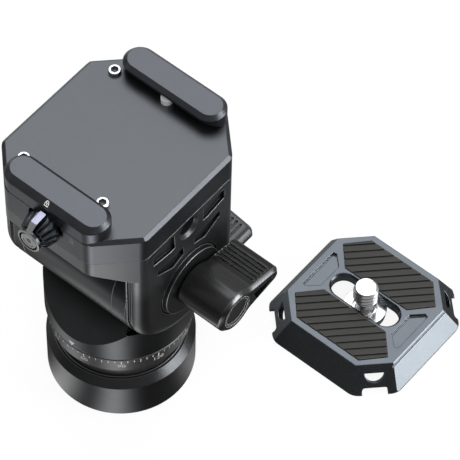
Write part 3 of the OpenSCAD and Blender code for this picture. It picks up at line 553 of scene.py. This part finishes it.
KNOB_FINISH = [M["knob"], M["knob_edge"], M["pit_shade"]]
tilt_finish = KNOB_FINISH + [M["knob_grip"]]
tilt_knob = piece(
    "tilt_knob_winged", knob(on_tilt), tilt_finish, "tilt_lock", KNOB_SHARP
)
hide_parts("tilt_knob")
pan_finish = KNOB_FINISH + [M["pan_grip"]]
pan_knob = piece(
    "pan_knob_winged", knob(on_pan), pan_finish, "pan_lock", KNOB_SHARP
)
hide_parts("pan_knob")


# Degree ring: ticks every 5 degrees and a number every 30
BAND_IN = 0.75
BAND_FLARE = 0.45
BAND_EDGE = 0.3
PRINT_LIFT = 0.02
ZERO_AT = -138.6
TICK_STEP = 5
TICK_TOP = BASE_H + RING_H - 0.55
NUMBER_STEP = 30
NUMBER_SIZE = 2.05
NUMBER_Z = 21.4
# Ticks at multiples of an angle, longest first: angle, length and width
TICKS = ((NUMBER_STEP, 1.5, 0.28), (15, 1.3, 0.2), (TICK_STEP, 0.95, 0.2))


def ring_radius(z):
    """Outer radius of the scale ring's tick band at height z."""
    up = (z - BASE_H - RING_H / 2) / (RING_H / 2 - BAND_EDGE)
    return BASE_R - BAND_IN + up * BAND_FLARE


def wrapped(radius, angle, across, z):
    """Point just off a round wall, so far across from a bearing."""
    r = radius + PRINT_LIFT
    a = math.radians(angle) + across / r
    return Vector((r * math.cos(a), r * math.sin(a), z)) * MM


def on_ring(angle, across, z):
    return wrapped(ring_radius(z), angle, across, z)


def tick(bm, angle, width, z0, z1):
    rows = []
    for z in (z0, z1):
        rows.append([bm.verts.new(on_ring(angle, c * width, z)) for c in (-0.5, 0.0, 0.5)])
    bridge(bm, rows, False)


def text_mesh(text, size):
    curve = bpy.data.curves.new("number", "FONT")
    curve.body = text
    curve.size = size
    curve.align_x = "CENTER"
    curve.align_y = "CENTER"
    curve.resolution_u = 3
    obj = bpy.data.objects.new("number", curve)
    mesh = bpy.data.meshes.new_from_object(obj)
    bpy.data.objects.remove(obj)
    return mesh


def scale_marks():
    bm = bmesh.new()
    for turn in range(0, 360, TICK_STEP):
        length, width = next((high, wide) for every, high, wide in TICKS if turn % every == 0)
        tick(bm, ZERO_AT + turn, width, TICK_TOP - length, TICK_TOP)
    for turn in range(0, 360, NUMBER_STEP):
        mesh = text_mesh(str(turn), NUMBER_SIZE)
        flat = bmesh.new()
        flat.from_mesh(mesh)
        bpy.data.meshes.remove(mesh)
        bmesh.ops.triangulate(flat, faces=flat.faces)
        copy = {}
        for v in flat.verts:
            copy[v] = bm.verts.new(on_ring(ZERO_AT + turn, v.co.x, NUMBER_Z + v.co.y))
        for f in flat.faces:
            bm.faces.new([copy[v] for v in f.verts])
        flat.free()
    return bm


piece("scale_marks", scale_marks(), [M["mark"]], "base")


# Index triangle on the collar, with its tip down; its upper corners keep a sliver of height
INDEX_AT = -88.5
INDEX_TIP = 25.3
INDEX_H = 1.8
INDEX_HALF = 0.95
INDEX_MID = 0.5
INDEX_SHARE = 0.999


def collar_index():
    bm = bmesh.new()
    lows, tops = [], []
    for c in (-INDEX_HALF, -INDEX_MID, 0.0, INDEX_MID, INDEX_HALF):
        low = INDEX_TIP + INDEX_H * abs(c) / INDEX_HALF * INDEX_SHARE
        lows.append(bm.verts.new(wrapped(BASE_R, INDEX_AT, c, low)))
        tops.append(bm.verts.new(wrapped(BASE_R, INDEX_AT, c, INDEX_TIP + INDEX_H)))
    bridge(bm, [lows, tops], False)
    return bm


piece("collar_index", collar_index(), [M["mark"]], "pan")


# Camera screw with a real thread
SCREW_R = 3.175
SCREW_ROOT_R = 2.5
SCREW_TOP = 12.9
SCREW_PITCH = 1.27
NECK_R = 2.225
NECK_FILLET = 0.3
HEAD_TOP = 3.6
THREAD_Z = 8.1
RUN_IN = 0.3
RUN_IN_SLOPE = 1.6
TIP_IN = 0.15
TIP_SLOPE = 0.75
CREST_SHARE = 0.16
FLANK_SHARE = 0.7
SCREW_SIDES = 72
SCREW_STEPS = 110
SCREW_SHARP = 40
# Radius and Z from the middle of the head's underside to the start of the thread
SCREW_BELOW = (
    (0.0, 1.5), (5.1, 1.5), (5.4, 1.8), (5.4, 3.3), (5.1, HEAD_TOP),
    (NECK_R + NECK_FILLET, HEAD_TOP), (NECK_R, HEAD_TOP + NECK_FILLET),
    (NECK_R, THREAD_Z - RUN_IN),
)
SCREW_END = ((SCREW_ROOT_R, SCREW_TOP), (0.0, SCREW_TOP))
SAME_POINT = 1e-7


def thread_radius(z, turn):
    """Radius of the thread at height z and at a share of one turn."""
    phase = (z / SCREW_PITCH - turn) % 1.0
    depth = min(1.0, max(0.0, (abs(2 * phase - 1) - CREST_SHARE) / FLANK_SHARE))
    crest = SCREW_R - (SCREW_R - SCREW_ROOT_R) * depth
    start = NECK_R + max(0.0, z - THREAD_Z + RUN_IN) * RUN_IN_SLOPE
    tip = SCREW_ROOT_R + TIP_IN + (SCREW_TOP - z) * TIP_SLOPE
    return min(crest, start, tip)


def camera_screw():
    bm = bmesh.new()
    rows = [[spot] * SCREW_SIDES for spot in SCREW_BELOW]
    for i in range(SCREW_STEPS + 1):
        z = THREAD_Z - RUN_IN + (SCREW_TOP - THREAD_Z + RUN_IN) * i / SCREW_STEPS
        rows.append([(thread_radius(z, s / SCREW_SIDES), z) for s in range(SCREW_SIDES)])
    rows += [[spot] * SCREW_SIDES for spot in SCREW_END]
    grid = []
    for row in rows:
        line = []
        for s, (r, z) in enumerate(row):
            p = arm(360 * s / SCREW_SIDES, r)
            line.append(bm.verts.new(Vector((PLATE[0] + p.x, PLATE[1] + p.y, z)) * MM))
        grid.append(line)
    bridge(bm, grid)
    bmesh.ops.remove_doubles(bm, verts=bm.verts, dist=SAME_POINT)
    bmesh.ops.recalc_face_normals(bm, faces=bm.faces)
    return bm


screw = piece(
    "camera_screw_threaded", camera_screw(), [M["steel"]], "screw", SCREW_SHARP
)
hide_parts("camera_screw")


# Generic padlock signs, closed on the jaw's bevel and open on the housing
SIGN_LIFT = 0.015
SIGN_LINE = 0.2
LOCK_BODY = [(-0.5, -0.6), (0.5, -0.6), (0.5, 0.1), (-0.5, 0.1)]
KEYHOLE = [(0.0, -0.38), (0.0, -0.12)]
SHACKLE_R = 0.34
SHACKLE_FOOT = 0.1
SHACKLE_CENTRE = 0.3
SHACKLE_RISE = 0.3
SHACKLE_LINE = 0.18
SHACKLE_STEPS = 10
LOCK_AT = Vector((0.0, -23.6, 89.24))
UNLOCK_AT = Vector((7.6, -HALF_Y, 82.4))
RIGHT = Vector((1, 0, 0))
UP = Vector((0, 0, 1))
UP_BEVEL = Vector((0, 0.7071, 0.7071))


def padlock(origin, right, up, lifted):
    bm = bmesh.new()
    normal = right.cross(up).normalized()

    def at(u, v):
        return bm.verts.new((origin + right * u + up * v + normal * SIGN_LIFT) * MM)

    def strip(path, width, closed=False):
        one, other = [], []
        count = len(path)
        for i, p in enumerate(path):
            a = path[(i - 1) % count] if closed or i else p
            b = path[(i + 1) % count] if closed or i < count - 1 else p
            d = Vector((b[0] - a[0], b[1] - a[1])).normalized()
            one.append(at(p[0] - d.y * width / 2, p[1] + d.x * width / 2))
            other.append(at(p[0] + d.y * width / 2, p[1] - d.x * width / 2))
        bridge(bm, [other, one], closed)

    strip(LOCK_BODY, SIGN_LINE, True)
    centre = SHACKLE_CENTRE + (SHACKLE_RISE if lifted else 0.0)
    shackle = [(SHACKLE_R, SHACKLE_FOOT)]
    for i in range(SHACKLE_STEPS + 1):
        a = math.pi * i / SHACKLE_STEPS
        shackle.append((SHACKLE_R * math.cos(a), centre + SHACKLE_R * math.sin(a)))
    if not lifted:
        shackle.append((-SHACKLE_R, SHACKLE_FOOT))
    strip(shackle, SHACKLE_LINE)
    strip(KEYHOLE, SIGN_LINE)
    return bm


lock = padlock(LOCK_AT, RIGHT, UP_BEVEL, False)
piece("lock_sign", lock, [M["sign"]], "jaw")
unlock = padlock(UNLOCK_AT, RIGHT, UP, True)
piece("unlock_sign", unlock, [M["faint"]], "tilt")


# Fluted lever with a fin and a ringed end face
FLUTES = 16
FLUTE_STEPS = 10
LEVER_SHARP = 35
# Turned shape: radius, Y and depth of the flutes
LEVER_TURNED = [
    (2.6, -22.6, 0.0), (4.3, -22.6, 0.0), (4.55, -24.7, 0.15), (4.5, -25.6, 0.35),
    (4.1, -27.4, 0.55), (3.7, -28.6, 0.6), (3.4, -28.9, 0.5), (2.75, -28.95, 0.0),
    (2.75, -29.2, 0.0), (3.0, -29.25, 0.0), (3.12, -29.4, 0.0), (3.12, -30.15, 0.0),
    (2.97, -30.3, 0.0), (2.62, -30.3, 0.0), (2.52, -29.8, 0.0), (2.2, -29.8, 0.0),
    (2.12, -30.25, 0.0), (LEVER_HOLE_R, -30.25, 0.0), (LEVER_HOLE_R, -29.3, 0.0),
]
RIM_ROW, GROOVE_ROW, HUB_ROW = 11, 13, 15
ON_LEVER, ON_FACE, ON_GROOVE = range(3)
# Fin: Y, Z of the top, half width there and half width at the foot
FIN = ((-24.9, 87.2, 0.85, 1.5), (-28.3, 86.8, 0.85, 1.4), (-30.0, 85.05, 0.7, 1.1))
FIN_FOOT_Z = 83.0
FIN_TOP_SIDE = 1


def lever():
    bm = bmesh.new()
    sides = FLUTES * FLUTE_STEPS
    rows = []
    for r, y, depth in LEVER_TURNED:
        row = []
        for k in range(sides):
            angle = 360 * k / sides
            p = arm(angle, r - depth * (0.5 - 0.5 * math.cos(math.radians(angle * FLUTES))))
            row.append(bm.verts.new(Vector((p.x, y, LEVER_Z + p.y)) * MM))
        rows.append(row)
    bridge(bm, rows[: RIM_ROW + 1], finish_at=ON_LEVER)
    bridge(bm, rows[RIM_ROW : GROOVE_ROW + 1], finish_at=ON_FACE)
    bridge(bm, rows[GROOVE_ROW : HUB_ROW + 1], finish_at=ON_GROOVE)
    bridge(bm, rows[HUB_ROW:], finish_at=ON_FACE)
    fin = []
    for y, z, half, foot in FIN:
        spots = ((-foot, FIN_FOOT_Z), (-half, z), (half, z), (foot, FIN_FOOT_Z))
        fin.append([bm.verts.new(Vector((x, y, h)) * MM) for x, h in spots])
    bridge(bm, fin[:2], finish_at=ON_LEVER)
    bridge(bm, fin[1:], finish_at=lambda k: ON_FACE if k == FIN_TOP_SIDE else ON_LEVER)
    for end in (fin[0], fin[-1]):
        bm.faces.new(end)
    bmesh.ops.recalc_face_normals(bm, faces=bm.faces)
    return bm


LEVER_FINISH = [M["lever"], M["lever_face"], M["pit_shade"]]
fluted = piece("lock_lever_fluted", lever(), LEVER_FINISH, "lever", LEVER_SHARP)
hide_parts("lock_lever")


# Seat screws with open hex sockets: radius and Z over the seat
SEAT_SCREW_AT = [(-14.5, 16.1), (-13.9, -15.9), (7.8, -13.9)]
SEAT_SCREW_HEAD = 1.0
SEAT_SCREW_SHAPE = ((1.2, -12.5), (1.2, 0.0), (1.55, 0.0), (1.55, 0.82), (1.4, SEAT_SCREW_HEAD))
SEAT_SCREW_SHARP = 30
SOCKET_R = 0.95
SOCKET_TURN = 15
SOCKET_FLOOR = 0.2
ON_SOCKET = 1


def seat_screws():
    bm = bmesh.new()

    def loop(centre, points, z):
        x, y = centre
        return [bm.verts.new(Vector((x + p.x, y + p.y, SEAT_Z + z)) * MM) for p in points]

    hexagon = [arm(60 * k + SOCKET_TURN, SOCKET_R) for k in range(6)]
    for centre in SEAT_SCREW_AT:
        rows = [loop(centre, circle(r), z) for r, z in SEAT_SCREW_SHAPE]
        bridge(bm, rows)
        bm.faces.new(rows[0])
        socket = [loop(centre, hexagon, z) for z in (SEAT_SCREW_HEAD, SOCKET_FLOOR)]
        bridge(bm, socket, finish_at=ON_SOCKET)
        bm.faces.new(socket[1]).material_index = ON_SOCKET
        cap_face(bm, [rows[-1], socket[0]])
    bmesh.ops.recalc_face_normals(bm, faces=bm.faces)
    return bm


SOCKET_FINISH = [M["steel"], M["socket"]]
sockets = piece(
    "seat_screws_socketed", seat_screws(), SOCKET_FINISH, "tilt", SEAT_SCREW_SHARP
)
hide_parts("seat_screws")


# Outer face of the front jaw, which stands flush with the housing
JAW_Y = -19.88
JAW_R = 4.0
JAW_FLAT = 10.4
JAW_TOP = 90.0
JAW_BEVEL = 1.05
JAW_SHARP = 25
JAW_ARC_STEP = 3.0
JAW_ARC_STEPS = 30
FLUSH = 0.5
TUCK = 0.02
SEAT_GAP = 0.03
HOUSING_BEVEL = 0.9


def seat_under(y):
    """Height just over the housing's top and its bevel at y."""
    return SEAT_Z + SEAT_GAP - max(0.0, -y - HALF_Y + HOUSING_BEVEL)


def jaw_face():
    bm = bmesh.new()
    path = [(JAW_FLAT, k * JAW_ARC_STEP) for k in range(JAW_ARC_STEPS + 1)]
    path += [(-JAW_FLAT, k * JAW_ARC_STEP) for k in range(JAW_ARC_STEPS, 2 * JAW_ARC_STEPS + 1)]
    bevel = JAW_TOP - JAW_BEVEL
    rows = [[], [], [], []]
    for x, angle in path:
        c, d = arm(angle)
        y = JAW_Y - (JAW_R - TUCK) * d
        out = y - FLUSH * d
        spots = (
            (y, bevel + TUCK, TUCK),
            (out, bevel - FLUSH * d, 0.0),
            (out, seat_under(out), 0.0),
            (y, seat_under(y), TUCK),
        )
        for row, (at, z, tuck) in zip(rows, spots):
            row.append(bm.verts.new(Vector((x + (JAW_R - tuck) * c, at, z)) * MM))
    bridge(bm, rows, False)
    bmesh.ops.recalc_face_normals(bm, faces=bm.faces)
    return bm


piece("front_jaw_face", jaw_face(), [M["jaw"]], "jaw", JAW_SHARP)


# Painted highlight along the top of the lever's fin, a bluish strip: Y, Z and half width, then its
# section across
FIN_HIGHLIGHT = ((-24.92, 87.18, 0.75), (-25.1, 87.17, 0.85), (-28.0, 86.83, 0.85), (-28.25, 86.8, 0.6))
FIN_HIGHLIGHT_SECTION = ((-1, 0.0), (-0.85, 0.06), (0.85, 0.06), (1, 0.0))
FIN_HIGHLIGHT_SHARP = 40


def pointer():
    bm = bmesh.new()
    rows = []
    for y, z, half in FIN_HIGHLIGHT:
        spots = [Vector((share * half, y, z + lift)) for share, lift in FIN_HIGHLIGHT_SECTION]
        rows.append([bm.verts.new(p * MM) for p in spots])
    bridge(bm, rows, False)
    return bm


piece("lever_fin_highlight", pointer(), [M["pointer"]], "lever", FIN_HIGHLIGHT_SHARP)


# Floor, light and camera, in metres and degrees

def lobe(tree, angle, centre, width, gain):
    """Soft bump of a gain round one bearing."""
    off = math_node(tree, "SUBTRACT", angle, math.radians(centre))
    d = math_node(tree, "DIVIDE", off, math.radians(width))
    square = math_node(tree, "MULTIPLY", d, d)
    fall = math_node(tree, "EXPONENT", math_node(tree, "MULTIPLY", square, -1.0))
    return math_node(tree, "MULTIPLY", fall, gain)


def patch(tree, angle, bump, value, bands):
    """Soft bump round one bearing that changes over bands of another value."""
    light = lobe(tree, angle, *bump)
    for band in bands:
        light = math_node(tree, "MULTIPLY", light, ramp(tree, value, *band))
    return light


def mirror_rays(tree, path):
    glossy, through = path.outputs["Is Glossy Ray"], path.outputs["Is Transmission Ray"]
    return math_node(tree, "MAXIMUM", glossy, through)


FLOOR_HALF = 3.0
FLOOR_Z = -0.00005
FLOOR_COLOUR = (0.9, 0.9, 0.9)
FLOOR_WHITE = 1.02
FLOOR_WHITE_SHARE = 0.87
# Light patches in the floor that metal sees: bearing, width and gain of each, then its bands of
# distance from the pan axis, each with the factors at its start and its end
PATCHES = (
    ((-106, 17, 1.05), ((0.025, 0.032, 1.0, 0.0),)),
    (
        (-116, 22, 0.85),
        (
            (0.025, 0.032, 0.0, 1.0),
            (0.038, 0.048, 1.0, 0.6),
            (0.058, 0.07, 1.0, 2.0),
            (0.08, 0.1, 1.0, 0.08),
        ),
    ),
    ((-56, 14, 1.5), ((0.05, 0.07, 1.0, 2.0),)),
    ((27, 17, 0.45), ((0.024, 0.034, 1.0, 0.1),)),
)
PATCH_FADE = (0.16, 0.4, 1.0, 0.2)
BACK_PATCH = (120, 42, 0.5)
# Light on the left: cosine of the bearing with the gains, and the distance where it starts
LEFT_TURN = (-0.45, -0.95, 0.0, 0.5)
LEFT_START = (0.045, 0.065)
FLOOR_REST = 0.06
SHEEN_ROUGH = 0.2
SHEEN_FACING = (0.55, 0.86)


def floor_light(tree):
    """Strength of the floor as metal sees it: soft light and dark, as under softboxes and flags."""
    position = new(tree, "ShaderNodeNewGeometry").outputs["Position"]
    axes = axes_of(tree, position)
    angle = math_node(tree, "ARCTAN2", axes["Y"], axes["X"])
    far = vector_math(tree, "LENGTH", position)
    soft = 0.0
    for bump, bands in PATCHES:
        soft = math_node(tree, "ADD", soft, patch(tree, angle, bump, far, bands))
    soft = math_node(tree, "MULTIPLY", soft, ramp(tree, far, *PATCH_FADE))
    soft = math_node(tree, "ADD", soft, lobe(tree, angle, *BACK_PATCH))
    left = ramp(tree, math_node(tree, "DIVIDE", axes["X"], far), *LEFT_TURN)
    left = math_node(tree, "MULTIPLY", left, ramp(tree, far, *LEFT_START))
    return math_node(tree, "ADD", math_node(tree, "ADD", soft, left), FLOOR_REST)


def floor():
    bm = bmesh.new()
    s = FLOOR_HALF
    corners = ((-s, -s), (s, -s), (s, s), (-s, s))
    bm.faces.new([bm.verts.new((x, y, FLOOR_Z)) for x, y in corners])
    mesh = bpy.data.meshes.new("floor")
    bm.to_mesh(mesh)
    bm.free()
    obj = new_object("floor", mesh)
    m = bpy.data.materials.new("pale_floor")
    m.use_nodes = True
    t = m.node_tree
    t.nodes.remove(t.nodes["Principled BSDF"])
    path = new(t, "ShaderNodeLightPath")
    to_camera = path.outputs["Is Camera Ray"]
    mirrored = mirror_rays(t, path)
    diffuse = new(t, "ShaderNodeBsdfDiffuse")
    feed(t, diffuse.inputs["Color"], FLOOR_COLOUR)
    glow = new(t, "ShaderNodeEmission")
    feed(t, glow.inputs["Color"], (1, 1, 1))
    feed(t, glow.inputs["Strength"], mix_value(t, to_camera, floor_light(t), FLOOR_WHITE))
    # At a flat angle metal sees the lamps mirrored in the floor's sheen
    sheen = new(t, "ShaderNodeBsdfGlossy")
    feed(t, sheen.inputs["Roughness"], SHEEN_ROUGH)
    facing = ramp(t, new(t, "ShaderNodeLayerWeight").outputs["Facing"], *SHEEN_FACING)
    slick = new(t, "ShaderNodeMixShader")
    feed(t, slick.inputs[0], math_node(t, "MULTIPLY", mirrored, facing))
    feed(t, slick.inputs[1], glow.outputs[0])
    feed(t, slick.inputs[2], sheen.outputs[0])
    # The camera sees the glow with some of the shadow, and all other light sees a pale floor
    white = math_node(t, "MULTIPLY", to_camera, FLOOR_WHITE_SHARE)
    seen = new(t, "ShaderNodeMixShader")
    feed(t, seen.inputs[0], math_node(t, "MAXIMUM", mirrored, white))
    feed(t, seen.inputs[1], diffuse.outputs[0])
    feed(t, seen.inputs[2], slick.outputs[0])
    feed(t, t.nodes["Material Output"].inputs["Surface"], seen.outputs[0])
    mesh.materials.append(m)


floor()

LAMP_AIM = Vector((0.015, 0.015, 0.05))


def area(name, bearing, height, distance, wide, tall, power, colour=(1, 1, 1), mirrored=True):
    """Softbox at a bearing and height that faces the part."""
    data = bpy.data.lights.new(name, "AREA")
    data.energy = power
    data.color = colour
    data.shape = "RECTANGLE"
    data.size = wide
    data.size_y = tall
    b, h = math.radians(bearing), math.radians(height)
    d = Vector((math.cos(b) * math.cos(h), math.sin(b) * math.cos(h), math.sin(h)))
    obj = new_object(name, data)
    obj.location = LAMP_AIM + d * distance
    obj.rotation_euler = d.to_track_quat("Z", "Y").to_euler()
    obj.visible_camera = False
    obj.visible_glossy = mirrored


area(
    "soft_top", bearing=122.0, height=62.0, distance=1.1, wide=0.95, tall=0.66, power=4.15,
    colour=(0.94, 0.97, 1.0),
)
area(
    "soft_right", bearing=24.0, height=16.0, distance=0.8, wide=0.5, tall=0.46, power=3.9,
    colour=(0.96, 0.98, 1.0),
)
area(
    "soft_front", bearing=-52.0, height=55.0, distance=1.2, wide=0.7, tall=0.7, power=7.0,
    mirrored=False,
)

# Sky that metal sees: brightest one way, lighter above the horizon, with a soft strip on the left
SKY_TO = Vector((-0.25, 0.6, 0.76)).normalized()
SKY_GAIN = (-0.1, 0.9, 0.025, 0.42)
SKY_RISE = (0.12, 0.42, 0.0, 0.2)
STRIP = (-142, 14, 0.35)
STRIP_HEIGHT = ((0.1, 0.25), (0.45, 0.6, 1.0, 0.0))
SKY_LEVEL = 0.5
SKY_WHITE = 1.0


def studio():
    world = bpy.data.worlds.new("studio")
    world.use_nodes = True
    t = world.node_tree
    back = t.nodes["Background"]
    feed(t, back.inputs["Color"], (1, 1, 1))
    path = new(t, "ShaderNodeLightPath")
    toward = new(t, "ShaderNodeTexCoord").outputs["Generated"]
    axes = axes_of(t, toward)
    angle = math_node(t, "ARCTAN2", axes["Y"], axes["X"])
    sky = ramp(t, vector_math(t, "DOT_PRODUCT", toward, SKY_TO), *SKY_GAIN)
    sky = math_node(t, "ADD", sky, ramp(t, axes["Z"], *SKY_RISE))
    sky = math_node(t, "ADD", sky, patch(t, angle, STRIP, axes["Z"], STRIP_HEIGHT))
    strength = mix_value(t, mirror_rays(t, path), SKY_LEVEL, sky)
    strength = mix_value(t, path.outputs["Is Camera Ray"], strength, SKY_WHITE)
    feed(t, back.inputs["Strength"], strength)
    bpy.context.scene.world = world


studio()

# The photograph's view: turn about Z, look down and roll, then target in millimetres
CAMERA_AZ = math.radians(38.21)
CAMERA_EL = math.radians(55.26)
CAMERA_ROLL = math.radians(1.62)
CAMERA_TARGET = Vector((16.48, 21.17, 45.0)) * MM
CAMERA_DISTANCE = 0.73621
FOCAL_PX = 3100.0
IMAGE_PX = 460.0
SENSOR_MM = 36.0
CLIP = (0.05, 20.0)


def camera():
    az, el, roll = CAMERA_AZ, CAMERA_EL, CAMERA_ROLL
    right = Vector((math.cos(az), math.sin(az), 0))
    forward = Vector((-math.sin(az) * math.cos(el), math.cos(az) * math.cos(el), -math.sin(el)))
    up = right.cross(forward)
    x = right * math.cos(roll) + up * math.sin(roll)
    y = up * math.cos(roll) - right * math.sin(roll)
    data = bpy.data.cameras.new("camera")
    data.sensor_width = SENSOR_MM
    data.lens = FOCAL_PX / IMAGE_PX * SENSOR_MM
    data.clip_start, data.clip_end = CLIP
    obj = new_object("camera", data)
    m = Matrix((x, y, -forward)).transposed().to_4x4()
    m.translation = CAMERA_TARGET - forward * CAMERA_DISTANCE
    obj.matrix_world = m
    bpy.context.scene.camera = obj


camera()
bpy.context.scene.view_settings.view_transform = "Standard"
